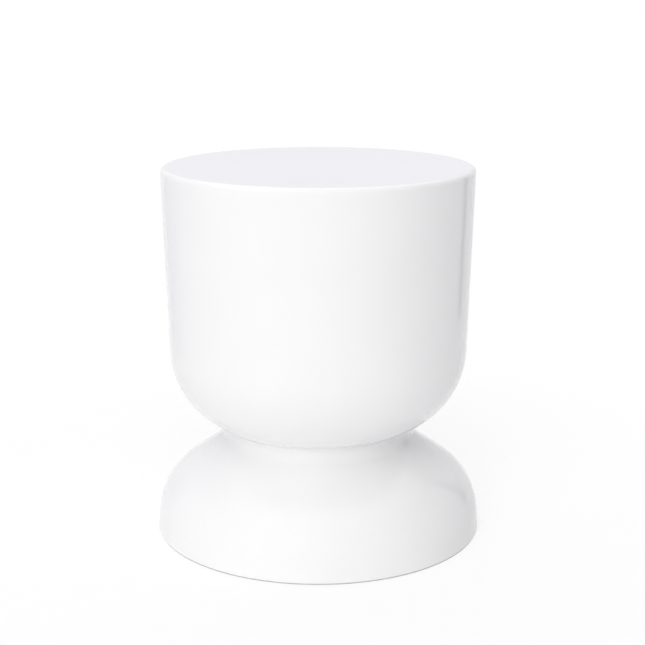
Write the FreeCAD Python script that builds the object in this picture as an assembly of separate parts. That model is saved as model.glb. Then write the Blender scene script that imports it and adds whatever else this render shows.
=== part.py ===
import FreeCAD, Part
import math
import os

# Round stool table in coated sheet steel: a closed drum with a bowl underneath, bolted at the neck to a domed
# base that is open below. Millimetres, +Z up, origin on the floor at the middle of the base.

# Overall sizes
table_height = 450.0
top_diameter = 375.0
base_diameter = 401.0
neck_diameter = 228.0
seam_height = 129.6      # top of the base, where the neck gasket lies

# Sheet, and how the pressings meet
sheet = 1.0
land_length = 10.0       # straight run of a pressing beside its butt joint with the wall
band_width = 18.0        # strip behind each butt joint
band_gap = 0.1           # between the strip and the sheets in front of it
neck_bend = 1.5          # outer bend where a neck turns into its floor

# Drum
rim_radius = 6.2
wall_draft = 1.58        # degrees, the wall closes towards the bowl
bowl_radius = 102.5
bowl_foot = 0.3          # straight part of the bowl's foot at the neck
bowl_blend = 1.0         # hollow between foot and bowl

# Base
skirt_draft = 4.8        # degrees, the skirt opens towards the floor
dome_radius = 77.6
collar_height = 9.0      # straight part of the neck under the seam
flare_radius = 26.0
hem_bend = 1.6
hem_width = 12.5         # from the widest point of the base to the hem's free edge

# Foot strip, pushed over the hem
foot_thickness = 1.2
foot_setback = 1.0       # the strip's edge behind the widest point of the base
foot_wall = 1.5
foot_lip_reach = 5.0
foot_clearance = 0.2

# Neck joint
gasket_thickness = 0.8
bead_setback = 0.1       # face of the gasket's bead behind the neck
bead_clearance = 0.1     # between the bead and the bends above and below it
ring_setback = 11.0      # the stiff rings' edge behind the neck
ring_width = 39.0
ring_thickness = 3.0
bolt_count = 4
bolt_start_share = 0.5   # of the pitch between bolts, which keeps them clear of the X and Y axes
bolt_diameter = 8.0
bolt_length = 20.0
bolt_hole_clearance = 1.0
thread_clearance = 0.2
tip_chamfer = 1.0
hex_sides = 6
hex_across_flats = 13.0
hex_chamfer_share = 0.95  # chamfer circle, as a share of the size across flats
hex_chamfer_angle = 30.0  # degrees
head_height = 5.3
nut_height = 6.5
washer_diameter = 16.0
washer_thickness = 1.6
washer_hole_clearance = 0.4
spring_diameter = 14.8
spring_thickness = 2.0
spring_gap = 2.0

# Braces under the top
brace_sheet = 1.2
brace_depth = 22.0
brace_crown_width = 32.0
brace_flange_width = 12.0
brace_clearance = 1.0

# How far a cutter goes past the face that it cuts
overrun = 3.0

ORIGIN = FreeCAD.Vector(0, 0, 0)
UP = FreeCAD.Vector(0, 0, 1)
DOWN = FreeCAD.Vector(0, 0, -1)
OUT = FreeCAD.Vector(1, 0, 0)


def at(radius, height):
    """Point of the half section, radius from the axis and height above the floor."""
    return FreeCAD.Vector(radius, 0, height)


def heading(degrees):
    """Unit vector in the half section, 0 pointing away from the axis and 90 up."""
    angle = math.radians(degrees)
    return FreeCAD.Vector(math.cos(angle), 0, math.sin(angle))


def bearing(degrees):
    """Unit vector in plan, 0 along +X."""
    angle = math.radians(degrees)
    return FreeCAD.Vector(math.cos(angle), math.sin(angle), 0)


def cup_centre(wall_point, wall_heading, inward, cup_radius, blend_centre, blend_radius):
    """Centre of the arc that runs out of a slanted wall and touches the hollow at the neck from outside."""
    reach = (blend_centre - wall_point).dot(inward)
    level = (blend_centre - wall_point).dot(wall_heading)
    rise = math.sqrt((cup_radius + blend_radius) ** 2 - (cup_radius - reach) ** 2)
    return wall_point + wall_heading * (level + rise) + inward * cup_radius


# Derived sizes
top_radius = top_diameter / 2
base_radius = base_diameter / 2
neck_radius = neck_diameter / 2
ring_outer_radius = neck_radius - ring_setback
ring_inner_radius = ring_outer_radius - ring_width
bolt_circle_radius = (ring_outer_radius + ring_inner_radius) / 2
bowl_floor = seam_height + gasket_thickness

# The drum's wall line, from the rim down
rim_centre = at(top_radius - rim_radius, table_height - rim_radius)
wall_out = heading(-wall_draft)
wall_in = wall_out * -1
wall_up = heading(90 - wall_draft)
wall_down = wall_up * -1
wall_start = rim_centre + wall_out * rim_radius

# The bowl's bend, hollow and main arc
bowl_bend_centre = at(neck_radius - neck_bend, bowl_floor + neck_bend)
bowl_blend_centre = at(neck_radius + bowl_blend, bowl_bend_centre.z + bowl_foot)
bowl_centre = cup_centre(wall_start, wall_up, wall_in, bowl_radius, bowl_blend_centre, bowl_blend)

# The wall's two butt joints
top_butt = wall_start + wall_down * land_length
bowl_butt = bowl_centre + wall_out * bowl_radius + wall_up * land_length

# Where the upper band comes nearest to the axis
band_inside = (top_butt + wall_down * (band_width / 2) + wall_in * (2 * sheet + band_gap)).x

# The base's hem, skirt line, bend, flare and dome
hem_centre = at(base_radius - hem_bend, foot_thickness + hem_bend)
hem_edge = base_radius - hem_width
skirt_out = heading(skirt_draft)
skirt_in = skirt_out * -1
skirt_down = heading(skirt_draft - 90)
skirt_foot = hem_centre + skirt_out * hem_bend
base_bend_centre = at(neck_radius - neck_bend, seam_height - neck_bend)
flare_centre = at(neck_radius + flare_radius, base_bend_centre.z - collar_height)
dome_centre = cup_centre(skirt_foot, skirt_down, skirt_in, dome_radius, flare_centre, flare_radius)

# The stack of pieces at each bolt, from the nut down
nut_bottom = bowl_floor + sheet + ring_thickness
clamp_bottom = seam_height - sheet - ring_thickness
washer_bottom = clamp_bottom - washer_thickness
spring_bottom = washer_bottom - spring_thickness


class Outline:
    """One face of a sheet in the half section, drawn from the axis outwards.

    The depth is measured from the outer face into the sheet, so the same steps draw both faces of a pressing.
    """

    def __init__(self, start, depth):
        self.start = start
        self.point = start
        self.depth = depth
        self.edges = []

    def line_to(self, point):
        self.edges.append(Part.LineSegment(self.point, point).toShape())
        self.point = point

    def arc_about(self, centre, direction):
        """Arc round the centre, from the present point to the one that lies in the given direction."""
        radius = (self.point - centre).Length
        first = (self.point - centre).normalize()
        middle = (first + direction).normalize()
        end = centre + direction * radius
        self.edges.append(Part.Arc(self.point, centre + middle * radius, end).toShape())
        self.point = end


def top_outline(depth):
    """Flat top, rolled rim and a short skirt down to the wall."""
    path = Outline(at(0, table_height - depth), depth)
    path.line_to(rim_centre + UP * (rim_radius - depth))
    path.arc_about(rim_centre, wall_out)
    path.line_to(top_butt + wall_in * depth)
    return path


def bowl_outline(depth):
    """Flat floor, foot, hollow, bowl and a short straight run up to the wall."""
    path = Outline(at(0, bowl_floor + depth), depth)
    path.line_to(bowl_bend_centre + DOWN * (neck_bend - depth))
    path.arc_about(bowl_bend_centre, OUT)
    path.line_to(bowl_blend_centre - OUT * (bowl_blend + depth))
    path.arc_about(bowl_blend_centre, (bowl_centre - bowl_blend_centre).normalize())
    path.arc_about(bowl_centre, wall_out)
    path.line_to(bowl_butt + wall_in * depth)
    return path


def base_outline(depth):
    """Flat floor, collar, flare, dome, skirt and the hem turned in at the foot."""
    path = Outline(at(0, seam_height - depth), depth)
    path.line_to(base_bend_centre + UP * (neck_bend - depth))
    path.arc_about(base_bend_centre, OUT)
    path.line_to(flare_centre - OUT * (flare_radius + depth))
    path.arc_about(flare_centre, (dome_centre - flare_centre).normalize())
    path.arc_about(dome_centre, skirt_out)
    path.line_to(hem_centre + skirt_out * (hem_bend - depth))
    path.arc_about(hem_centre, DOWN)
    path.line_to(at(hem_edge, foot_thickness + depth))
    return path


def spun(edges):
    """Solid turned about the axis from the edges of a closed loop."""
    loop = Part.Wire(Part.__sortEdges__(edges))
    return Part.Face(loop).revolve(ORIGIN, UP, 360)


def pressing(outline):
    """Sheet turned about the axis, between its outer and its inner face."""
    outer = outline(0)
    inner = outline(sheet)
    middle = Part.LineSegment(outer.start, inner.start).toShape()
    edge = Part.LineSegment(outer.point, inner.point).toShape()
    return spun(outer.edges + inner.edges + [middle, edge])


def loop_of(points):
    """Closed loop of straight edges through the points."""
    return Part.makePolygon(points + points[:1])


def ring(outer_radius, inner_radius, bottom, thickness):
    """Flat ring about the axis."""
    disc = Part.makeCylinder(outer_radius, thickness, at(0, bottom))
    bore = Part.makeCylinder(inner_radius, thickness + 2 * overrun, at(0, bottom - overrun))
    return disc.cut(bore)


def at_bolts(shape):
    """One copy of the shape at each place on the bolt circle."""
    pitch = 360 / bolt_count
    copies = []
    for number in range(bolt_count):
        copy = shape.copy()
        copy.translate(bearing(pitch * (number + bolt_start_share)) * bolt_circle_radius)
        copies.append(copy)
    return Part.makeCompound(copies)


def pierced(shape, bottom, thickness):
    """The shape with a clearance hole for each bolt through the given thickness."""
    hole_radius = (bolt_diameter + bolt_hole_clearance) / 2
    drill = Part.makeCylinder(hole_radius, thickness + 2 * overrun, at(0, bottom - overrun))
    return shape.cut(at_bolts(drill))


def hexagon(bottom, height):
    """Hexagon prism with the corners of both ends taken off by a cone."""
    corner = hex_across_flats / 2 / math.cos(math.pi / hex_sides)
    turn = 360 / hex_sides
    outline = loop_of([bearing(turn * side) * corner + UP * bottom for side in range(hex_sides)])
    block = Part.Face(outline).extrude(UP * height)
    flat = hex_across_flats * hex_chamfer_share / 2
    drop = (corner - flat) * math.tan(math.radians(hex_chamfer_angle))
    top = bottom + height
    lower = [at(0, bottom), at(flat, bottom), at(corner, bottom + drop)]
    upper = [at(corner, top - drop), at(flat, top), at(0, top)]
    return block.common(spun(loop_of(lower + upper).Edges))


def hoop(upper, lower):
    """Sheet turned about the axis between two points of its outer face, parallel to the drum's wall."""
    corners = [upper, lower, lower + wall_in * sheet, upper + wall_in * sheet]
    return spun(loop_of(corners).Edges)


def make_band(butt):
    """Strip behind a butt joint, which its two sheets are welded to."""
    middle = butt + wall_in * (sheet + band_gap)
    half = wall_up * (band_width / 2)
    return hoop(middle + half, middle - half)


def make_foot_ring():
    """Channel round the hem: a strip on the floor, a wall behind the hem and a lip over it."""
    rim = base_radius - foot_setback
    slot = hem_edge - foot_clearance
    slot_top = foot_thickness + sheet + foot_clearance
    back = slot - foot_wall
    lip_top = slot_top + foot_wall
    lip_edge = hem_edge + foot_lip_reach
    outside = [at(back, lip_top), at(back, 0), at(rim, 0), at(rim, foot_thickness)]
    inside = [at(slot, foot_thickness), at(slot, slot_top), at(lip_edge, slot_top), at(lip_edge, lip_top)]
    return spun(loop_of(outside + inside).Edges)


def make_neck_gasket():
    """Flat ring between the two floors, with a bead round it that fills the groove between their bends."""
    reach = neck_bend + bead_clearance
    inner_slope = math.degrees(math.asin(neck_bend / reach))
    outer_slope = math.degrees(math.acos((neck_bend - bead_setback) / reach))
    path = Outline(at(ring_inner_radius, seam_height), 0)
    path.line_to(base_bend_centre + heading(inner_slope) * reach)
    path.arc_about(base_bend_centre, heading(outer_slope))
    path.line_to(bowl_bend_centre + heading(-outer_slope) * reach)
    path.arc_about(bowl_bend_centre, heading(-inner_slope))
    path.line_to(at(ring_inner_radius, bowl_floor))
    path.line_to(path.start)
    return pierced(spun(path.edges), seam_height, gasket_thickness)


def make_stiff_ring(bottom):
    """Thick ring that spreads the bolt load over one of the thin floors."""
    flat = ring(ring_outer_radius, ring_inner_radius, bottom, ring_thickness)
    return pierced(flat, bottom, ring_thickness)


def make_flat_washers():
    hole_radius = (bolt_diameter + washer_hole_clearance) / 2
    return at_bolts(ring(washer_diameter / 2, hole_radius, washer_bottom, washer_thickness))


def make_spring_washers():
    hole_radius = (bolt_diameter + washer_hole_clearance) / 2
    washer = ring(spring_diameter / 2, hole_radius, spring_bottom, spring_thickness)
    slit = Part.makeBox(spring_diameter, spring_gap, spring_thickness + 2 * overrun)
    slit.translate(FreeCAD.Vector(0, -spring_gap / 2, spring_bottom - overrun))
    return at_bolts(washer.cut(slit))


def make_clamp_bolts():
    head = hexagon(spring_bottom - head_height, head_height)
    radius = bolt_diameter / 2
    tip = spring_bottom + bolt_length
    shank = [at(0, spring_bottom), at(radius, spring_bottom), at(radius, tip - tip_chamfer)]
    point = [at(radius - tip_chamfer, tip), at(0, tip)]
    return at_bolts(head.fuse(spun(loop_of(shank + point).Edges)).removeSplitter())


def make_weld_nuts():
    bore_radius = (bolt_diameter + thread_clearance) / 2
    bore = Part.makeCylinder(bore_radius, nut_height + 2 * overrun, at(0, nut_bottom - overrun))
    return at_bolts(hexagon(nut_bottom, nut_height).cut(bore))


def make_brace(first, last):
    """Hat-section bar along X under the top, its outer ends trimmed to the round inside the upper band."""
    top = table_height - sheet
    crown = brace_crown_width / 2
    web = crown - brace_sheet
    flange = crown + brace_flange_width
    upper = [(flange, top), (web, top), (web, top - brace_depth + brace_sheet)]
    lower = [(crown, top - brace_depth), (crown, top - brace_sheet), (flange, top - brace_sheet)]
    right = [FreeCAD.Vector(first, y, z) for y, z in upper + lower]
    left = [FreeCAD.Vector(first, -y, z) for y, z in upper + lower]
    section = right[:3] + left[2::-1] + left[:2:-1] + right[3:]
    bar = Part.Face(loop_of(section)).extrude(OUT * (last - first))
    room = Part.makeCylinder(band_inside - brace_clearance, table_height)
    return bar.common(room)


def make_half_brace(turn):
    """Bar from beside the main brace to the wall, turned about the axis."""
    bar = make_brace(brace_crown_width / 2 + brace_flange_width + brace_clearance, top_radius)
    bar.rotate(ORIGIN, UP, turn)
    return bar


def main():
    shapes = {
        "top_plate": pressing(top_outline),
        "top_brace_main": make_brace(-top_radius, top_radius),
        "top_brace_left": make_half_brace(90),
        "top_brace_right": make_half_brace(-90),
        "upper_band": make_band(top_butt),
        "drum_wall": hoop(top_butt, bowl_butt),
        "lower_band": make_band(bowl_butt),
        "drum_bowl": pierced(pressing(bowl_outline), bowl_floor, sheet),
        "mount_ring": make_stiff_ring(bowl_floor + sheet),
        "weld_nuts": make_weld_nuts(),
        "neck_gasket": make_neck_gasket(),
        "base_dome": pierced(pressing(base_outline), seam_height - sheet, sheet),
        "clamp_ring": make_stiff_ring(clamp_bottom),
        "flat_washers": make_flat_washers(),
        "spring_washers": make_spring_washers(),
        "clamp_bolts": make_clamp_bolts(),
        "foot_ring": make_foot_ring(),
    }
    os.makedirs("parts", exist_ok=True)
    for node, shape in shapes.items():
        shape.exportStep(f"parts/{node}.step")
        print(node, "valid" if shape.isValid() else "NOT VALID", len(shape.Solids), round(shape.Volume))


main()
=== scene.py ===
"""Looks of a round stool table in gloss white sheet steel: a drum and bowl bolted to a domed base."""

import logging
import math
from collections.abc import Iterable, Mapping
from dataclasses import dataclass, field
from enum import Enum

import bmesh
import bpy
from mathutils import Matrix, Vector


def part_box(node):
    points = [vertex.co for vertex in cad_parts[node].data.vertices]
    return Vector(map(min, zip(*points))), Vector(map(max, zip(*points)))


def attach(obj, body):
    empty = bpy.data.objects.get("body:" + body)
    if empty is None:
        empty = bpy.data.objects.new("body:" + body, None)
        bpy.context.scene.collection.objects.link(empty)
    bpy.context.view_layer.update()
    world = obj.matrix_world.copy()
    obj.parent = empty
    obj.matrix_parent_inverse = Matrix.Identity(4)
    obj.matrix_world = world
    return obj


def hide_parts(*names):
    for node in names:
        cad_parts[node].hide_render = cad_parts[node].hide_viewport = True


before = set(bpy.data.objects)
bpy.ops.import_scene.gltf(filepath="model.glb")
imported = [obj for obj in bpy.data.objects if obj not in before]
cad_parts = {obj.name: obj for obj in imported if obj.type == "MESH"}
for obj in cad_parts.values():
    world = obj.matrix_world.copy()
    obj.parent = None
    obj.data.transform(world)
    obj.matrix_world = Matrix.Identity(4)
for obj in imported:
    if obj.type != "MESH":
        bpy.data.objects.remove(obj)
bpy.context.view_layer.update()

LOG = logging.getLogger("stool_table")

Colour = tuple[float, float, float, float]
WHITE: Colour = (1, 1, 1, 1)
COOL: Colour = (0.970, 0.935, 1.0, 1)
CREAM: Colour = (0.993, 1.0, 0.986, 1)

BODY = "root"
ORIGIN = Vector((0, 0, 0))
OUT = Vector((1, 0, 0))
UP = Vector((0, 0, 1))
DOWN = Vector((0, 0, -1))
ACROSS = Vector((0, 1, 0))

TURN_STEPS = 192           # facets round a turned piece
ARC_STEP = math.radians(4)  # largest turn of one facet along an arc
LEAST_ARC_STEPS = 5
MERGE_DISTANCE = 1e-6
SHARP_ANGLE = math.radians(32)
FLAT_ANGLE = math.radians(0.5)
BEVEL_SEGMENTS = 2
BEVEL_PROFILE = 0.5        # a round bevel

WAVE_DETAIL = 1.0          # octaves of noise in the slow waves of a sheet
GRAIN_DETAIL = 2.0         # in the grain of a coat
PATCH_DETAIL = 3.0         # in the drift of a tone
DUST_DETAIL = 4.0          # in floor dust
PATCH_ROUGHNESS = 0.55     # how strongly a patch's finer octaves count


class Slot(Enum):
    """The record's material slots, by name."""

    COAT = "coat"
    ZINC = "zinc"
    FOOT = "foot"


def spot(radius: float, height: float) -> Vector:
    """Point of a half section, by its distance from the axis and its height above the floor."""
    return Vector((radius, 0, height))


def heading(degrees: float) -> Vector:
    """Unit vector in a half section, 0 pointing away from the axis and 90 up."""
    angle = math.radians(degrees)
    return Vector((math.cos(angle), 0, math.sin(angle)))


def cup_centre(wall_point: Vector, wall_heading: Vector, inward: Vector, cup_radius: float,
               blend_centre: Vector, blend_radius: float) -> Vector:
    """Find the arc that runs out of a slanted wall and touches the hollow at the neck from outside.

    Args:
        wall_point: A point on the wall's line.
        wall_heading: Unit vector along the wall, away from the neck.
        inward: Unit vector square to the wall, towards the arc's centre.
        cup_radius: Radius of the arc.
        blend_centre: Centre of the hollow.
        blend_radius: Radius of the hollow.

    Returns:
        The centre of the arc.
    """
    reach = (blend_centre - wall_point).dot(inward)
    level = (blend_centre - wall_point).dot(wall_heading)
    rise = math.sqrt((cup_radius + blend_radius) ** 2 - (cup_radius - reach) ** 2)
    return wall_point + wall_heading * (level + rise) + inward * cup_radius


class Pen:
    """One vertex that draws a half section, extruded along lines and spun round arcs."""

    def __init__(self, mesh: bmesh.types.BMesh, start: Vector) -> None:
        """Put the pen down.

        Args:
            mesh: The mesh that is drawn in.
            start: Where the section starts.
        """
        self.mesh = mesh
        self.first = mesh.verts.new(start)
        self.tip = self.first
        self.stretch: list[bmesh.types.BMEdge] = []

    def line_to(self, end: Vector, steps: int = 1) -> None:
        """Draw a straight run.

        Args:
            end: Where the run ends.
            steps: How many edges the run is divided into.
        """
        move = (end - self.tip.co) / steps
        for _ in range(steps):
            grown = bmesh.ops.extrude_vert_indiv(self.mesh, verts=[self.tip])
            self.tip = grown["verts"][0]
            self.stretch += grown["edges"]
            bmesh.ops.translate(self.mesh, vec=move, verts=[self.tip])

    def arc_about(self, centre: Vector, towards: Vector) -> None:
        """Draw an arc from the present point to the one that lies in a given direction.

        Args:
            centre: Centre of the arc.
            towards: Direction from the centre to the arc's end.
        """
        arm = self.tip.co - centre
        turn = math.atan2(arm.z * towards.x - arm.x * towards.z, arm.dot(towards))
        steps = max(LEAST_ARC_STEPS, math.ceil(abs(turn) / ARC_STEP))
        before = set(self.mesh.edges)
        drawn = bmesh.ops.spin(self.mesh, geom=[self.tip], cent=centre, axis=ACROSS, angle=turn, steps=steps)
        self.tip = next(item for item in drawn["geom_last"] if isinstance(item, bmesh.types.BMVert))
        self.stretch += [edge for edge in self.mesh.edges if edge not in before]

    def close(self) -> None:
        """Join the tip to the section's first point."""
        self.stretch.append(self.mesh.edges.new((self.tip, self.first)))

    def lift(self) -> list[bmesh.types.BMEdge]:
        """Hand over the edges drawn since the last lift."""
        drawn, self.stretch = self.stretch, []
        return drawn


def turn_about_axis(mesh: bmesh.types.BMesh, stretches: Iterable[list[bmesh.types.BMEdge]]) -> None:
    """Spin a drawn section about the upright axis.

    Args:
        mesh: The mesh that holds the section.
        stretches: The section's edges; the faces of each stretch take the next material slot.
    """
    for index, edges in enumerate(stretches):
        before = set(mesh.faces)
        ends = {vertex for edge in edges for vertex in edge.verts}
        bmesh.ops.spin(mesh, geom=[*ends, *edges], cent=ORIGIN, axis=UP, angle=math.tau,
                       steps=TURN_STEPS, use_merge=True)
        for face in mesh.faces:
            if face not in before:
                face.material_index = index


def finish_mesh(mesh: bmesh.types.BMesh, name: str,
                materials: Iterable[bpy.types.Material]) -> bpy.types.Object:
    """Close a mesh and make it an object at the origin.

    Args:
        mesh: The finished shape, which is freed.
        name: Name of the piece.
        materials: Its finishes, in the order of the material slots.

    Returns:
        The new object.
    """
    bmesh.ops.remove_doubles(mesh, verts=mesh.verts, dist=MERGE_DISTANCE)
    bmesh.ops.recalc_face_normals(mesh, faces=mesh.faces)
    data = bpy.data.meshes.new(name)
    mesh.to_mesh(data)
    mesh.free()
    data.shade_smooth()
    data.set_sharp_from_angle(angle=SHARP_ANGLE)
    for material in materials:
        data.materials.append(material)
    piece = bpy.data.objects.new(name, data)
    bpy.context.scene.collection.objects.link(piece)
    return piece


def place(piece: bpy.types.Object, node: str, slot: Slot) -> None:
    """Let a new piece stand for a node of the frame.

    Args:
        piece: The new piece.
        node: The node that it replaces.
        slot: The record's slot for its finish; not used.
    """
    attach(piece, BODY)
    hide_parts(node)
    LOG.info("%s stands for %s: %d faces", piece.name, node, len(piece.data.polygons))


def dress(node: str, material: bpy.types.Material) -> None:
    """Give a node of the frame its finish.

    Args:
        node: The node, whose mesh stays as it is.
        material: Its finish.
    """
    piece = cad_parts[node]
    piece.data.materials.clear()
    piece.data.materials.append(material)
    LOG.info("%s keeps its mesh and is dressed in %s", node, material.name)


def eased(node: str, width: float, material: bpy.types.Material, name: str, slot: Slot) -> None:
    """Stand a copy of a node in its place, with its sharp edges eased.

    Args:
        node: The node to copy.
        width: Width of the small bevel along each sharp edge.
        material: The copy's finish.
        name: Name of the copy.
        slot: The record's slot for its finish; not used.
    """
    mesh = bmesh.new()
    mesh.from_mesh(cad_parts[node].data)
    bmesh.ops.remove_doubles(mesh, verts=mesh.verts, dist=MERGE_DISTANCE)
    bmesh.ops.dissolve_limit(mesh, angle_limit=FLAT_ANGLE, verts=mesh.verts, edges=mesh.edges)
    sharp = [edge for edge in mesh.edges if edge.is_manifold and edge.calc_face_angle() > SHARP_ANGLE]
    bmesh.ops.bevel(mesh, geom=sharp, offset=width, offset_type="OFFSET", affect="EDGES",
                    segments=BEVEL_SEGMENTS, profile=BEVEL_PROFILE, material=-1, clamp_overlap=True)
    for face in mesh.faces:
        face.material_index = 0
    place(finish_mesh(mesh, name, [material]), node, slot)


class Graph:
    """A node tree, with short calls that add nodes and join them."""

    def __init__(self, tree: bpy.types.NodeTree) -> None:
        """Start from an empty tree.

        Args:
            tree: The tree to fill.
        """
        self.tree = tree
        tree.nodes.clear()

    def node(self, kind: str, inputs: Mapping[str | int, object] | None = None,
             **settings: object) -> bpy.types.Node:
        """Add a node.

        Args:
            kind: Blender's name of the node's type.
            inputs: What each input gets; a socket is joined, anything else is written there.
            **settings: The node's own settings.

        Returns:
            The new node.
        """
        made = self.tree.nodes.new(kind)
        for name, value in settings.items():
            setattr(made, name, value)
        for key, value in (inputs or {}).items():
            if isinstance(value, bpy.types.NodeSocket):
                self.tree.links.new(value, made.inputs[key])
            else:
                made.inputs[key].default_value = value
        return made

    def math(self, operation: str, first: object, second: object) -> bpy.types.NodeSocket:
        """Work out a sum of two values.

        Args:
            operation: Blender's name of the sum.
            first: The first value or socket.
            second: The second value or socket.

        Returns:
            The socket that holds the answer.
        """
        return self.node("ShaderNodeMath", {0: first, 1: second}, operation=operation).outputs[0]

    def spread(self, mask: bpy.types.NodeSocket, low: object, high: object) -> bpy.types.NodeSocket:
        """Spread a mask over a range.

        Args:
            mask: A value from 0 to 1.
            low: What 0 becomes.
            high: What 1 becomes.

        Returns:
            The socket that holds the value.
        """
        return self.node("ShaderNodeMapRange", {"Value": mask, "To Min": low, "To Max": high}).outputs[0]

    def tint(self, mask: bpy.types.NodeSocket, low: Colour, high: Colour) -> bpy.types.NodeSocket:
        """Run between two colours along a mask.

        Args:
            mask: A value from 0 to 1.
            low: Colour at 0.
            high: Colour at 1.

        Returns:
            The socket that holds the colour.
        """
        ramp = self.node("ShaderNodeValToRGB", {"Fac": mask})
        ramp.color_ramp.elements[0].color = low
        ramp.color_ramp.elements[1].color = high
        return ramp.outputs["Color"]


class Effect:
    """A node group with named inputs and one output, shared by several finishes."""

    def __init__(self, name: str, inputs: Mapping[str, str], output: str) -> None:
        """Make the empty group.

        Args:
            name: Name of the group.
            inputs: Name and socket type of each input.
            output: Name of the output, a value.
        """
        self.group = bpy.data.node_groups.new(name, "ShaderNodeTree")
        for label, kind in inputs.items():
            self.group.interface.new_socket(name=label, in_out="INPUT", socket_type=kind)
        self.group.interface.new_socket(name=output, in_out="OUTPUT", socket_type="NodeSocketFloat")
        self.graph = Graph(self.group)
        self.given = self.graph.node("NodeGroupInput").outputs
        self.result = self.graph.node("NodeGroupOutput").inputs[output]

    def put_out(self, socket: bpy.types.NodeSocket) -> None:
        """Join the answer to the group's output."""
        self.group.links.new(socket, self.result)

    def use(self, graph: Graph, inputs: Mapping[str | int, object]) -> bpy.types.NodeSocket:
        """Place the group in a material.

        Args:
            graph: The material's graph.
            inputs: What each input gets.

        Returns:
            The group's output there.
        """
        return graph.node("ShaderNodeGroup", inputs, node_tree=self.group).outputs[0]


class Effects:
    """The effects that the finishes share."""

    def __init__(self) -> None:
        """Build each group once."""
        self.relief = self._relief()
        self.patches = self._patches()
        self.floor_dust = self._floor_dust()

    @staticmethod
    def _relief() -> Effect:
        """Build the height of slow waves in a sheet, with the finer grain of its coat on top."""
        number = "NodeSocketFloat"
        inputs = {"Vector": "NodeSocketVector", "Wave Scale": number, "Wave Depth": number,
                  "Grain Scale": number, "Grain Depth": number}
        effect = Effect("surface_relief", inputs, "Height")
        graph, given = effect.graph, effect.given
        wave = graph.node("ShaderNodeTexNoise", {"Vector": given["Vector"], "Scale": given["Wave Scale"],
                                                 "Detail": WAVE_DETAIL})
        grain = graph.node("ShaderNodeTexNoise", {"Vector": given["Vector"], "Scale": given["Grain Scale"],
                                                  "Detail": GRAIN_DETAIL})
        waves = graph.math("MULTIPLY", wave.outputs[0], given["Wave Depth"])
        grains = graph.math("MULTIPLY", grain.outputs[0], given["Grain Depth"])
        effect.put_out(graph.math("ADD", waves, grains))
        return effect

    @staticmethod
    def _patches() -> Effect:
        """Build a mask of soft uneven patches."""
        number = "NodeSocketFloat"
        inputs = {"Vector": "NodeSocketVector", "Scale": number, "Detail": number,
                  "From": number, "To": number}
        effect = Effect("soft_patches", inputs, "Mask")
        graph, given = effect.graph, effect.given
        noise = graph.node("ShaderNodeTexNoise", {"Vector": given["Vector"], "Scale": given["Scale"],
                                                  "Detail": given["Detail"], "Roughness": PATCH_ROUGHNESS})
        mask = graph.node("ShaderNodeMapRange", {"Value": noise.outputs[0], "From Min": given["From"],
                                                 "From Max": given["To"]}, interpolation_type="SMOOTHSTEP")
        effect.put_out(mask.outputs[0])
        return effect

    @staticmethod
    def _floor_dust() -> Effect:
        """Build a mask that is 1 at the floor and broken up as it fades out above it."""
        number = "NodeSocketFloat"
        inputs = {"Vector": "NodeSocketVector", "Reach": number, "Scale": number}
        effect = Effect("floor_dust", inputs, "Mask")
        graph, given = effect.graph, effect.given
        parts = graph.node("ShaderNodeSeparateXYZ", {"Vector": given["Vector"]})
        near = graph.node("ShaderNodeMapRange", {"Value": parts.outputs["Z"], "From Max": given["Reach"],
                                                 "To Min": 1.0, "To Max": 0.0})
        noise = graph.node("ShaderNodeTexNoise", {"Vector": given["Vector"], "Scale": given["Scale"],
                                                  "Detail": DUST_DETAIL})
        effect.put_out(graph.math("MULTIPLY", near.outputs[0], noise.outputs[0]))
        return effect


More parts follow.
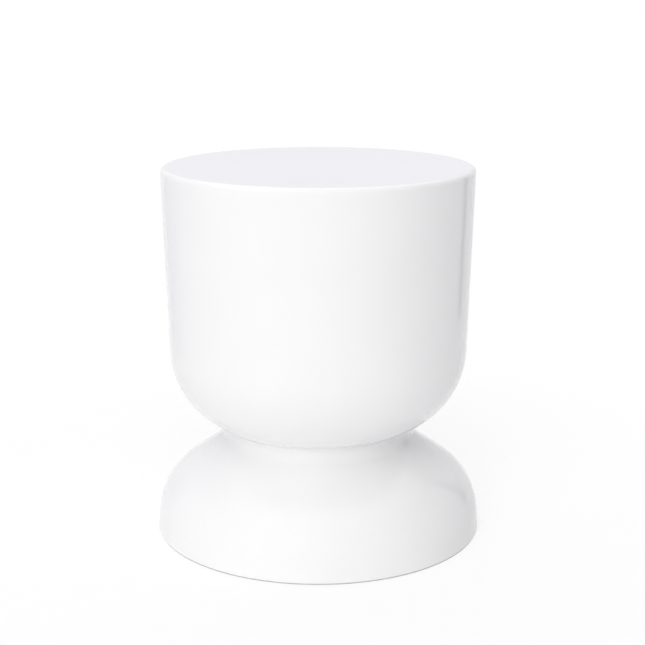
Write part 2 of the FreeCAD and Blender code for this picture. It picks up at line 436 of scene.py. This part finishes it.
@dataclass(frozen=True)
class Finish:
    """A colour and a roughness that drift, a relief and, where a scuff tone is given, dust near the floor."""

    name: str
    tone: Colour
    other_tone: Colour
    roughness: tuple[float, float]
    metallic: float = 0.0
    ior: float = 1.5
    patch_scale: float = 9.0
    patch_edges: tuple[float, float] = (0.3, 0.7)   # noise where a patch starts and where it is full
    wave_scale: float = 12.0
    wave_depth: float = 0.00004
    grain_scale: float = 420.0
    grain_depth: float = 0.000004
    scuff_tone: Colour | None = None
    scuff_reach: float = 0.012
    scuff_scale: float = 160.0

    def make(self, effects: Effects) -> bpy.types.Material:
        """Build the material.

        Args:
            effects: The shared node groups.

        Returns:
            The material.
        """
        material = bpy.data.materials.new(self.name)
        material.use_nodes = True
        graph = Graph(material.node_tree)
        place_on = graph.node("ShaderNodeTexCoord").outputs["Object"]
        start, full = self.patch_edges
        patches = effects.patches.use(graph, {"Vector": place_on, "Scale": self.patch_scale,
                                              "Detail": PATCH_DETAIL, "From": start, "To": full})
        height = effects.relief.use(graph, {"Vector": place_on, "Wave Scale": self.wave_scale,
                                            "Wave Depth": self.wave_depth, "Grain Scale": self.grain_scale,
                                            "Grain Depth": self.grain_depth})
        colour = graph.tint(patches, self.tone, self.other_tone)
        if self.scuff_tone is not None:
            colour = self._scuffed(graph, effects, place_on, colour)
        bump = graph.node("ShaderNodeBump", {"Height": height, "Distance": 1.0, "Strength": 1.0})
        shader = graph.node("ShaderNodeBsdfPrincipled", {
            "Base Color": colour, "Roughness": graph.spread(patches, *self.roughness),
            "Metallic": self.metallic, "IOR": self.ior, "Normal": bump.outputs[0]})
        graph.node("ShaderNodeOutputMaterial", {"Surface": shader.outputs[0]})
        return material

    def _scuffed(self, graph: Graph, effects: Effects, place_on: bpy.types.NodeSocket,
                 colour: bpy.types.NodeSocket) -> bpy.types.NodeSocket:
        """Lay floor dust over a colour.

        Args:
            graph: The material's graph.
            effects: The shared node groups.
            place_on: The surface's coordinates.
            colour: The colour under the dust.

        Returns:
            The socket that holds the dusted colour.
        """
        mask = effects.floor_dust.use(graph, {"Vector": place_on, "Reach": self.scuff_reach,
                                              "Scale": self.scuff_scale})
        mix = graph.node("ShaderNodeMix", {0: mask, 6: colour, 7: self.scuff_tone}, data_type="RGBA")
        return mix.outputs[2]


@dataclass
class Finishes:
    """Every material of the table, built once."""

    effects: Effects = field(default_factory=Effects)

    def __post_init__(self) -> None:
        """Build the materials."""
        gloss = Finish("gloss_coat", (0.920, 0.920, 0.921, 1), (0.906, 0.906, 0.908, 1), (0.06, 0.10))
        inner = Finish("inner_coat", (0.80, 0.80, 0.81, 1), (0.72, 0.72, 0.73, 1), (0.38, 0.55),
                       patch_scale=26.0, grain_scale=900.0, grain_depth=0.00004,
                       scuff_tone=(0.34, 0.33, 0.32, 1), scuff_reach=0.02)
        primer = Finish("grey_primer", (0.42, 0.43, 0.44, 1), (0.33, 0.34, 0.35, 1), (0.5, 0.68),
                        patch_scale=34.0, grain_scale=1100.0, grain_depth=0.00003)
        zinc = Finish("zinc_plate", (0.66, 0.67, 0.68, 1), (0.52, 0.54, 0.57, 1), (0.24, 0.42),
                      metallic=1.0, patch_scale=160.0, wave_scale=90.0, wave_depth=0.00002,
                      grain_scale=2600.0, grain_depth=0.00002)
        seal = Finish("neck_seal", (0.93, 0.93, 0.935, 1), (0.90, 0.90, 0.905, 1), (0.35, 0.5),
                      patch_scale=120.0, grain_scale=2200.0, grain_depth=0.00003)
        rubber = Finish("foot_rubber", (0.60, 0.60, 0.61, 1), (0.52, 0.52, 0.53, 1), (0.6, 0.8),
                        patch_scale=90.0, grain_scale=2400.0, grain_depth=0.00003,
                        scuff_tone=(0.45, 0.44, 0.43, 1), scuff_reach=0.002)
        self.gloss = gloss.make(self.effects)
        self.inner = inner.make(self.effects)
        self.primer = primer.make(self.effects)
        self.zinc = zinc.make(self.effects)
        self.seal = seal.make(self.effects)
        self.rubber = rubber.make(self.effects)


@dataclass
class Drum:
    """The closed drum: top with a rolled rim, tapering wall and bowl."""

    finishes: Finishes
    sheet: float = 0.0010
    rim_radius: float = 0.0062
    wall_draft: float = 1.58        # degrees
    land: float = 0.0100
    neck_radius: float = 0.1140
    neck_bend: float = 0.0015
    bowl_radius: float = 0.1025
    bowl_foot: float = 0.0003
    bowl_blend: float = 0.0010
    flat_steps: int = 6
    shoulder: float = 0.0020        # last ring of a flat before its bend
    wall_steps: int = 12
    butt_steps: int = 2

    def __post_init__(self) -> None:
        """Work out the wall's line and the bowl's arcs from the frame."""
        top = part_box("top_plate")[1]
        self.height = top.z
        self.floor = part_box("drum_bowl")[0].z
        self.rim_centre = spot(top.x - self.rim_radius, top.z - self.rim_radius)
        self.wall_out = heading(-self.wall_draft)
        self.wall_up = heading(90 - self.wall_draft)
        wall_start = self.rim_centre + self.wall_out * self.rim_radius
        self.bend_centre = spot(self.neck_radius - self.neck_bend, self.floor + self.neck_bend)
        self.blend_centre = spot(self.neck_radius + self.bowl_blend, self.bend_centre.z + self.bowl_foot)
        self.bowl_centre = cup_centre(wall_start, self.wall_up, -self.wall_out, self.bowl_radius,
                                      self.blend_centre, self.bowl_blend)
        self.top_butt = wall_start - self.wall_up * self.land
        self.bowl_butt = self.bowl_centre + self.wall_out * self.bowl_radius + self.wall_up * self.land

    def build(self) -> None:
        """Build the drum's three pressings."""
        materials = [self.finishes.gloss, self.finishes.primer]
        for name, node, draw in (("coated_top", "top_plate", self.draw_top),
                                 ("coated_wall", "drum_wall", self.draw_wall),
                                 ("coated_bowl", "drum_bowl", self.draw_bowl)):
            mesh = bmesh.new()
            turn_about_axis(mesh, draw(mesh))
            place(finish_mesh(mesh, name, materials), node, Slot.COAT)

    def draw_top(self, mesh: bmesh.types.BMesh) -> list[list[bmesh.types.BMEdge]]:
        """Draw the flat top, rolled rim and short skirt.

        Args:
            mesh: The mesh to draw in.

        Returns:
            The edges of the outer and of the inner face.
        """
        pen = Pen(mesh, spot(0, self.height))
        pen.line_to(spot(self.rim_centre.x - self.shoulder, self.height), self.flat_steps)
        pen.line_to(spot(self.rim_centre.x, self.height))
        pen.arc_about(self.rim_centre, self.wall_out)
        pen.line_to(self.top_butt, self.butt_steps)
        outer = pen.lift()
        pen.line_to(self.top_butt - self.wall_out * self.sheet)
        pen.line_to(self.rim_centre + self.wall_out * (self.rim_radius - self.sheet))
        pen.arc_about(self.rim_centre, UP)
        pen.line_to(spot(0, self.height - self.sheet), self.flat_steps)
        return [outer, pen.lift()]

    def draw_wall(self, mesh: bmesh.types.BMesh) -> list[list[bmesh.types.BMEdge]]:
        """Draw the tapering wall.

        Args:
            mesh: The mesh to draw in.

        Returns:
            The edges of the outer and of the inner face.
        """
        pen = Pen(mesh, self.top_butt)
        pen.line_to(self.bowl_butt, self.wall_steps)
        outer = pen.lift()
        pen.line_to(self.bowl_butt - self.wall_out * self.sheet)
        pen.line_to(self.top_butt - self.wall_out * self.sheet, self.wall_steps)
        pen.close()
        return [outer, pen.lift()]

    def draw_bowl(self, mesh: bmesh.types.BMesh) -> list[list[bmesh.types.BMEdge]]:
        """Draw the flat floor, foot, hollow, bowl and short straight run.

        Args:
            mesh: The mesh to draw in.

        Returns:
            The edges of the outer and of the inner face.
        """
        to_bowl = (self.bowl_centre - self.blend_centre).normalized()
        pen = Pen(mesh, spot(0, self.floor))
        pen.line_to(self.bend_centre + DOWN * self.neck_bend, self.flat_steps)
        pen.arc_about(self.bend_centre, OUT)
        pen.line_to(self.blend_centre - OUT * self.bowl_blend)
        pen.arc_about(self.blend_centre, to_bowl)
        pen.arc_about(self.bowl_centre, self.wall_out)
        pen.line_to(self.bowl_butt, self.butt_steps)
        outer = pen.lift()
        pen.line_to(self.bowl_butt - self.wall_out * self.sheet)
        pen.line_to(self.bowl_centre + self.wall_out * (self.bowl_radius - self.sheet))
        pen.arc_about(self.bowl_centre, -to_bowl)
        pen.arc_about(self.blend_centre, -OUT)
        pen.line_to(self.bend_centre + OUT * (self.neck_bend - self.sheet))
        pen.arc_about(self.bend_centre, DOWN)
        pen.line_to(spot(0, self.floor + self.sheet), self.flat_steps)
        return [outer, pen.lift()]


@dataclass
class Base:
    """The domed base and the rubber strip pushed over its hem."""

    finishes: Finishes
    sheet: float = 0.0010
    neck_radius: float = 0.1140
    neck_bend: float = 0.0015
    collar: float = 0.0030          # upright part of the neck
    hollow_radius: float = 0.0160   # of the round that turns the collar into the slope
    slope_steps: int = 6
    dome_radius: float = 0.0776
    solid_collar: float = 0.0090    # collar and hollow of the frame's solid, which place the dome
    solid_hollow: float = 0.0260
    skirt_draft: float = 4.8        # degrees
    skirt_steps: int = 2
    hem_bend: float = 0.0016
    hem_width: float = 0.0125
    flat_steps: int = 6
    foot_setback: float = 0.0010
    foot_wall: float = 0.0015
    foot_lip_reach: float = 0.0050
    foot_clearance: float = 0.0002
    foot_round: float = 0.0005
    rib_count: int = 4
    rib_depth: float = 0.0006

    def __post_init__(self) -> None:
        """Work out the hem, skirt, dome, slope and hollow from the frame."""
        lowest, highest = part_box("base_dome")
        self.seam = highest.z
        self.radius = highest.x
        self.foot_thickness = lowest.z
        self.hem_edge = self.radius - self.hem_width
        self.hem_centre = spot(self.radius - self.hem_bend, self.foot_thickness + self.hem_bend)
        self.skirt_out = heading(self.skirt_draft)
        skirt_foot = self.hem_centre + self.skirt_out * self.hem_bend
        self.bend_centre = spot(self.neck_radius - self.neck_bend, self.seam - self.neck_bend)
        solid_centre = spot(self.neck_radius + self.solid_hollow, self.bend_centre.z - self.solid_collar)
        self.dome_centre = cup_centre(skirt_foot, heading(self.skirt_draft - 90), -self.skirt_out,
                                      self.dome_radius, solid_centre, self.solid_hollow)
        self.hollow_centre = spot(self.neck_radius + self.hollow_radius, self.bend_centre.z - self.collar)
        reach = self.hollow_centre - self.dome_centre
        lean = math.acos((self.dome_radius + self.hollow_radius) / reach.length)
        self.slope_out = heading(math.degrees(math.atan2(reach.z, reach.x) - lean))

    def build(self) -> None:
        """Build the dome and its foot strip."""
        mesh = bmesh.new()
        turn_about_axis(mesh, self.draw_dome(mesh))
        dome = finish_mesh(mesh, "coated_base", [self.finishes.gloss, self.finishes.inner])
        place(dome, "base_dome", Slot.COAT)
        mesh = bmesh.new()
        turn_about_axis(mesh, [self.draw_foot(mesh)])
        strip = finish_mesh(mesh, "foot_strip", [self.finishes.rubber])
        place(strip, "foot_ring", Slot.FOOT)

    def draw_dome(self, mesh: bmesh.types.BMesh) -> list[list[bmesh.types.BMEdge]]:
        """Draw the floor, collar, hollow, slope, dome, skirt and hem.

        Args:
            mesh: The mesh to draw in.

        Returns:
            The edges of the outer and of the inner face.
        """
        thin = self.sheet
        pen = Pen(mesh, spot(0, self.seam))
        pen.line_to(self.bend_centre + UP * self.neck_bend, self.flat_steps)
        pen.arc_about(self.bend_centre, OUT)
        pen.line_to(self.hollow_centre - OUT * self.hollow_radius)
        pen.arc_about(self.hollow_centre, -self.slope_out)
        pen.line_to(self.dome_centre + self.slope_out * self.dome_radius, self.slope_steps)
        pen.arc_about(self.dome_centre, self.skirt_out)
        pen.line_to(self.hem_centre + self.skirt_out * self.hem_bend, self.skirt_steps)
        pen.arc_about(self.hem_centre, DOWN)
        pen.line_to(spot(self.hem_edge, self.foot_thickness))
        outer = pen.lift()
        pen.line_to(spot(self.hem_edge, self.foot_thickness + thin))
        pen.line_to(self.hem_centre + DOWN * (self.hem_bend - thin))
        pen.arc_about(self.hem_centre, self.skirt_out)
        pen.line_to(self.dome_centre + self.skirt_out * (self.dome_radius - thin), self.skirt_steps)
        pen.arc_about(self.dome_centre, self.slope_out)
        pen.line_to(self.hollow_centre - self.slope_out * (self.hollow_radius + thin), self.slope_steps)
        pen.arc_about(self.hollow_centre, -OUT)
        pen.line_to(self.bend_centre + OUT * (self.neck_bend - thin))
        pen.arc_about(self.bend_centre, UP)
        pen.line_to(spot(0, self.seam - thin), self.flat_steps)
        return [outer, pen.lift()]

    def draw_foot(self, mesh: bmesh.types.BMesh) -> list[bmesh.types.BMEdge]:
        """Draw the channel round the hem, with rounded outer corners and ribs underneath.

        Args:
            mesh: The mesh to draw in.

        Returns:
            The section's edges.
        """
        rim = self.radius - self.foot_setback
        slot = self.hem_edge - self.foot_clearance
        slot_top = self.foot_thickness + self.sheet + self.foot_clearance
        back = slot - self.foot_wall
        lip_top = slot_top + self.foot_wall
        lip_edge = self.hem_edge + self.foot_lip_reach
        soft = self.foot_round
        pen = Pen(mesh, spot(back, soft))
        pen.arc_about(spot(back + soft, soft), DOWN)
        self.draw_ribs(pen, back + soft, rim - soft)
        pen.arc_about(spot(rim - soft, soft), OUT)
        pen.line_to(spot(rim, self.foot_thickness))
        pen.line_to(spot(slot, self.foot_thickness))
        pen.line_to(spot(slot, slot_top))
        pen.line_to(spot(lip_edge, slot_top))
        pen.line_to(spot(lip_edge, lip_top - soft))
        pen.arc_about(spot(lip_edge - soft, lip_top - soft), UP)
        pen.line_to(spot(back + soft, lip_top))
        pen.arc_about(spot(back + soft, lip_top - soft), -OUT)
        pen.close()
        return pen.lift()

    def draw_ribs(self, pen: Pen, first: float, last: float) -> None:
        """Draw shallow grooves along the underside, with flat ribs between them.

        Args:
            pen: The pen, at the first radius on the floor.
            first: Radius where the ribs start.
            last: Radius where they end.
        """
        pitch = (last - first) / (2 * self.rib_count + 1)
        for number in range(self.rib_count):
            start = first + pitch * (2 * number + 1)
            pen.line_to(spot(start, 0))
            pen.line_to(spot(start + self.rib_depth / 2, self.rib_depth))
            pen.line_to(spot(start + pitch - self.rib_depth / 2, self.rib_depth))
            pen.line_to(spot(start + pitch, 0))
        pen.line_to(spot(last, 0))


@dataclass
class NeckJoint:
    """The bolted joint between drum and base, which shows from below."""

    finishes: Finishes
    ring_edge: float = 0.0005
    washer_edge: float = 0.0002
    bolt_edge: float = 0.0002

    def build(self) -> None:
        """Ease the edges of the pieces that show and dress the rest."""
        zinc = self.finishes.zinc
        eased("clamp_ring", self.ring_edge, zinc, "clamp_plate", Slot.ZINC)
        eased("flat_washers", self.washer_edge, zinc, "plain_washers", Slot.ZINC)
        eased("spring_washers", self.washer_edge, zinc, "split_washers", Slot.ZINC)
        eased("clamp_bolts", self.bolt_edge, zinc, "hex_bolts", Slot.ZINC)
        dress("mount_ring", self.finishes.primer)
        dress("weld_nuts", zinc)
        dress("neck_gasket", self.finishes.seal)


@dataclass
class InnerFrame:
    """The bars and bands inside the drum."""

    finishes: Finishes
    nodes: tuple[str, ...] = ("top_brace_main", "top_brace_left", "top_brace_right",
                              "upper_band", "lower_band")

    def build(self) -> None:
        """Dress the bars and bands in primer."""
        for node in self.nodes:
            dress(node, self.finishes.primer)


@dataclass(frozen=True)
class Panel:
    """A soft rectangular light, given by where it stands, what it faces and how bright its face is."""

    name: str
    place: tuple[float, float, float]
    aim: tuple[float, float, float]
    width: float
    height: float
    brightness: float               # of its face, where 1 is white

    def build(self) -> None:
        """Build the lamp, which shows in reflections and not to the camera."""
        data = bpy.data.lights.new(self.name, "AREA")
        data.shape = "RECTANGLE"
        data.size = self.width
        data.size_y = self.height
        data.energy = self.brightness * math.pi * self.width * self.height
        lamp = bpy.data.objects.new(self.name, data)
        bpy.context.scene.collection.objects.link(lamp)
        lamp.location = self.place
        lamp.rotation_euler = (Vector(self.aim) - Vector(self.place)).to_track_quat("-Z", "Y").to_euler()
        lamp.visible_camera = False


@dataclass(frozen=True)
class Glow:
    """A wide soft light in the surround, given by where it comes from and how far it spreads."""

    bearing: float                  # degrees from the camera's side, right positive
    height: float                   # degrees above the horizon
    spread: float                   # degrees from its middle to where it ends
    brightness: float               # in its middle, where 1 is white
    tone: Colour = WHITE

    def shade(self, graph: Graph, sight: bpy.types.NodeSocket) -> bpy.types.NodeSocket:
        """Add the light to the surround.

        Args:
            graph: The surround's graph.
            sight: The direction of the line of sight.

        Returns:
            The socket that holds the light.
        """
        turn = math.radians(self.bearing)
        rise = math.radians(self.height)
        edge = math.cos(math.radians(self.spread))
        middle = Vector((math.sin(turn) * math.cos(rise), -math.cos(turn) * math.cos(rise), math.sin(rise)))
        nearness = graph.node("ShaderNodeVectorMath", {0: sight, 1: middle}, operation="DOT_PRODUCT")
        fade = graph.node("ShaderNodeMapRange", {"Value": nearness.outputs["Value"], "From Min": edge,
                                                 "To Max": self.brightness},
                          interpolation_type="SMOOTHSTEP")
        light = graph.node("ShaderNodeBackground", {"Color": self.tone, "Strength": fade.outputs[0]})
        return light.outputs[0]


@dataclass(frozen=True)
class EdgeCard:
    """A grey card beside the set, which draws a darker line down one side of the gloss."""

    name: str
    bearing: float                  # degrees from the camera's side, right positive
    distance: float
    width: float
    height: float
    tone: Colour
    middle: float = 0.5             # share of the width where the card is darkest
    fade_start: float = 0.6         # share of the height where it starts to fade out

    def build(self) -> None:
        """Build the card, which shows in reflections only."""
        mesh = bmesh.new()
        mesh.loops.layers.uv.new("across")
        bmesh.ops.create_grid(mesh, x_segments=1, y_segments=1, size=0.5, calc_uvs=True)
        turn = math.radians(self.bearing)
        foot = Vector((math.sin(turn), -math.cos(turn), 0)) * self.distance
        stand = Matrix.Translation(foot + UP * (self.height / 2))
        upright = Matrix.Rotation(turn, 4, "Z") @ Matrix.Rotation(math.pi / 2, 4, "X")
        size = Matrix.Diagonal((self.width, self.height, 1, 1))
        bmesh.ops.transform(mesh, matrix=stand @ upright @ size, verts=mesh.verts)
        card = finish_mesh(mesh, self.name, [self.make_finish()])
        card.visible_camera = False
        card.visible_diffuse = False
        card.visible_shadow = False

    def make_finish(self) -> bpy.types.Material:
        """Make a grey that fades to white towards the card's two upright edges and its top.

        Returns:
            The material.
        """
        material = bpy.data.materials.new(self.name)
        material.use_nodes = True
        graph = Graph(material.node_tree)
        place_on = graph.node("ShaderNodeUVMap", uv_map="across").outputs[0]
        across = graph.node("ShaderNodeSeparateXYZ", {0: place_on})
        side = graph.math("PINGPONG", across.outputs["X"], self.middle)
        depth = graph.node("ShaderNodeMapRange", {"Value": side, "From Max": self.middle},
                           interpolation_type="SMOOTHERSTEP")
        top = graph.node("ShaderNodeMapRange", {"Value": across.outputs["Y"], "From Min": self.fade_start,
                                                "To Min": 1.0, "To Max": 0.0},
                         interpolation_type="SMOOTHERSTEP")
        shade = graph.math("MULTIPLY", depth.outputs[0], top.outputs[0])
        colour = graph.tint(shade, WHITE, self.tone)
        glow = graph.node("ShaderNodeEmission", {"Color": colour, "Strength": 1.0})
        graph.node("ShaderNodeOutputMaterial", {"Surface": glow.outputs[0]})
        return material


@dataclass
class Studio:
    """Pale floor, soft light and the camera."""

    camera_place: Vector = field(default_factory=lambda: Vector((0, -1.678, 0.672)))
    camera_tilt: float = 13.9       # degrees below the horizon
    camera_turn: float = -0.172     # degrees, left positive
    lens: float = 78.75             # millimetres on a 36 mm sensor
    floor_radius: float = 6.0
    floor_hole: float = 0.190       # under the foot strip, so that light reaches the underside
    floor_glow: float = 0.72
    floor_seen: float = 0.30
    floor_fade: tuple[float, float] = (0.25, 0.90)  # from the axis, where shadows fade out into white
    floor_bounce: float = 0.97
    ambient: float = 0.18
    glows: tuple[Glow, ...] = (
        Glow(-26, 8, 28, 1.66, CREAM),
        Glow(-10, 22, 22, 2.70, CREAM),
        Glow(-6, 36, 32, 1.07, CREAM),
        Glow(-10, 58, 30, 0.93, CREAM),
        Glow(-85, 15, 40, 0.33),
        Glow(-145, 25, 45, 0.30, COOL),
        Glow(180, 40, 60, 0.57, COOL),
        Glow(0, -90, 85, 0.60),     # reaches only the underside, through the floor's hole
    )
    panels: tuple[Panel, ...] = (
        Panel("overhead_panel", (0, 0, 1.75), (0, 0, 0), 3.2, 3.2, 0.45),
    )
    cards: tuple[EdgeCard, ...] = (
        EdgeCard("left_card", -124, 0.9, 0.90, 1.2, (0.84, 0.82, 0.89, 1)),
        EdgeCard("right_card", 125, 1.15, 0.30, 1.0, (0.46, 0.44, 0.49, 1)),
        EdgeCard("back_card", 180, 1.4, 2.60, 2.0, (0.86, 0.85, 0.91, 1)),
    )

    def build(self) -> None:
        """Build the floor, the surround, the lights, the cards and the camera."""
        bpy.context.scene.view_settings.view_transform = "Standard"
        self.build_floor()
        self.build_world()
        for item in (*self.panels, *self.cards):
            item.build()
        self.build_camera()

    def build_floor(self) -> None:
        """Build the floor as a wide ring round the foot."""
        mesh = bmesh.new()
        pen = Pen(mesh, spot(self.floor_hole, 0))
        pen.line_to(spot(self.floor_radius, 0))
        turn_about_axis(mesh, [pen.lift()])
        floor = finish_mesh(mesh, "studio_floor", [self.make_floor_finish()])
        if floor.data.polygons[0].normal.z < 0:
            floor.data.flip_normals()

    def make_floor_finish(self) -> bpy.types.Material:
        """Make a floor that looks white, keeps soft shadows and lets views from below through.

        Returns:
            The material.
        """
        material = bpy.data.materials.new("studio_paper")
        material.use_nodes = True
        graph = Graph(material.node_tree)
        seen = self.seen_directly(graph)
        shadowed = graph.node("ShaderNodeBsdfDiffuse", {"Color": (self.floor_seen,) * 3 + (1,)})
        glow = graph.node("ShaderNodeEmission", {"Color": WHITE, "Strength": self.floor_glow})
        near = graph.node("ShaderNodeAddShader", {0: shadowed.outputs[0], 1: glow.outputs[0]})
        far = graph.node("ShaderNodeEmission", {"Color": WHITE, "Strength": 1.0})
        place_on = graph.node("ShaderNodeTexCoord").outputs["Object"]
        reach = graph.node("ShaderNodeVectorMath", {0: place_on}, operation="LENGTH").outputs["Value"]
        start, end = self.floor_fade
        fade = graph.node("ShaderNodeMapRange", {"Value": reach, "From Min": start, "From Max": end},
                          interpolation_type="SMOOTHSTEP")
        shown = graph.node("ShaderNodeMixShader", {0: fade.outputs[0], 1: near.outputs[0],
                                                   2: far.outputs[0]})
        bounce = graph.node("ShaderNodeBsdfDiffuse", {"Color": (self.floor_bounce,) * 3 + (1,)})
        front = graph.node("ShaderNodeMixShader", {0: seen, 1: bounce.outputs[0], 2: shown.outputs[0]})
        through = graph.node("ShaderNodeBsdfTransparent")
        behind = graph.node("ShaderNodeNewGeometry").outputs["Backfacing"]
        both = graph.node("ShaderNodeMixShader", {0: behind, 1: front.outputs[0], 2: through.outputs[0]})
        graph.node("ShaderNodeOutputMaterial", {"Surface": both.outputs[0]})
        return material

    @staticmethod
    def seen_directly(graph: Graph) -> bpy.types.NodeSocket:
        """Tell camera, mirror and see-through rays from the rest.

        Args:
            graph: The graph to work in.

        Returns:
            A socket that is 1 for those rays and 0 for the others.
        """
        path = graph.node("ShaderNodeLightPath").outputs
        mirrored = graph.math("MAXIMUM", path["Is Glossy Ray"], path["Is Transmission Ray"])
        return graph.math("MAXIMUM", path["Is Camera Ray"], mirrored)

    def build_world(self) -> None:
        """Build a surround that looks white and lights the table with its glows."""
        world = bpy.data.worlds.new("studio_surround")
        world.use_nodes = True
        bpy.context.scene.world = world
        graph = Graph(world.node_tree)
        sight = graph.node("ShaderNodeTexCoord").outputs["Generated"]
        light = graph.node("ShaderNodeBackground", {"Color": COOL, "Strength": self.ambient}).outputs[0]
        for glow in self.glows:
            light = graph.node("ShaderNodeAddShader", {0: light, 1: glow.shade(graph, sight)}).outputs[0]
        backdrop = graph.node("ShaderNodeBackground", {"Color": WHITE, "Strength": 1.0})
        seen = self.seen_directly(graph)
        mixed = graph.node("ShaderNodeMixShader", {0: seen, 1: light, 2: backdrop.outputs[0]})
        graph.node("ShaderNodeOutputWorld", {"Surface": mixed.outputs[0]})

    def build_camera(self) -> None:
        """Set the camera where the view of the table is taken from."""
        data = bpy.data.cameras.new("view_camera")
        data.lens = self.lens
        camera = bpy.data.objects.new("view_camera", data)
        bpy.context.scene.collection.objects.link(camera)
        camera.location = self.camera_place
        camera.rotation_euler = (math.radians(90 - self.camera_tilt), 0, math.radians(self.camera_turn))
        bpy.context.scene.camera = camera


def main() -> None:
    """Build the table's sub-assemblies and the studio round them."""
    logging.basicConfig(level=logging.INFO, format="%(message)s")
    finishes = Finishes()
    for assembly in (Drum(finishes), Base(finishes), NeckJoint(finishes), InnerFrame(finishes), Studio()):
        assembly.build()
        LOG.info("%s is built", type(assembly).__name__)


if __name__ == "__main__":
    main()
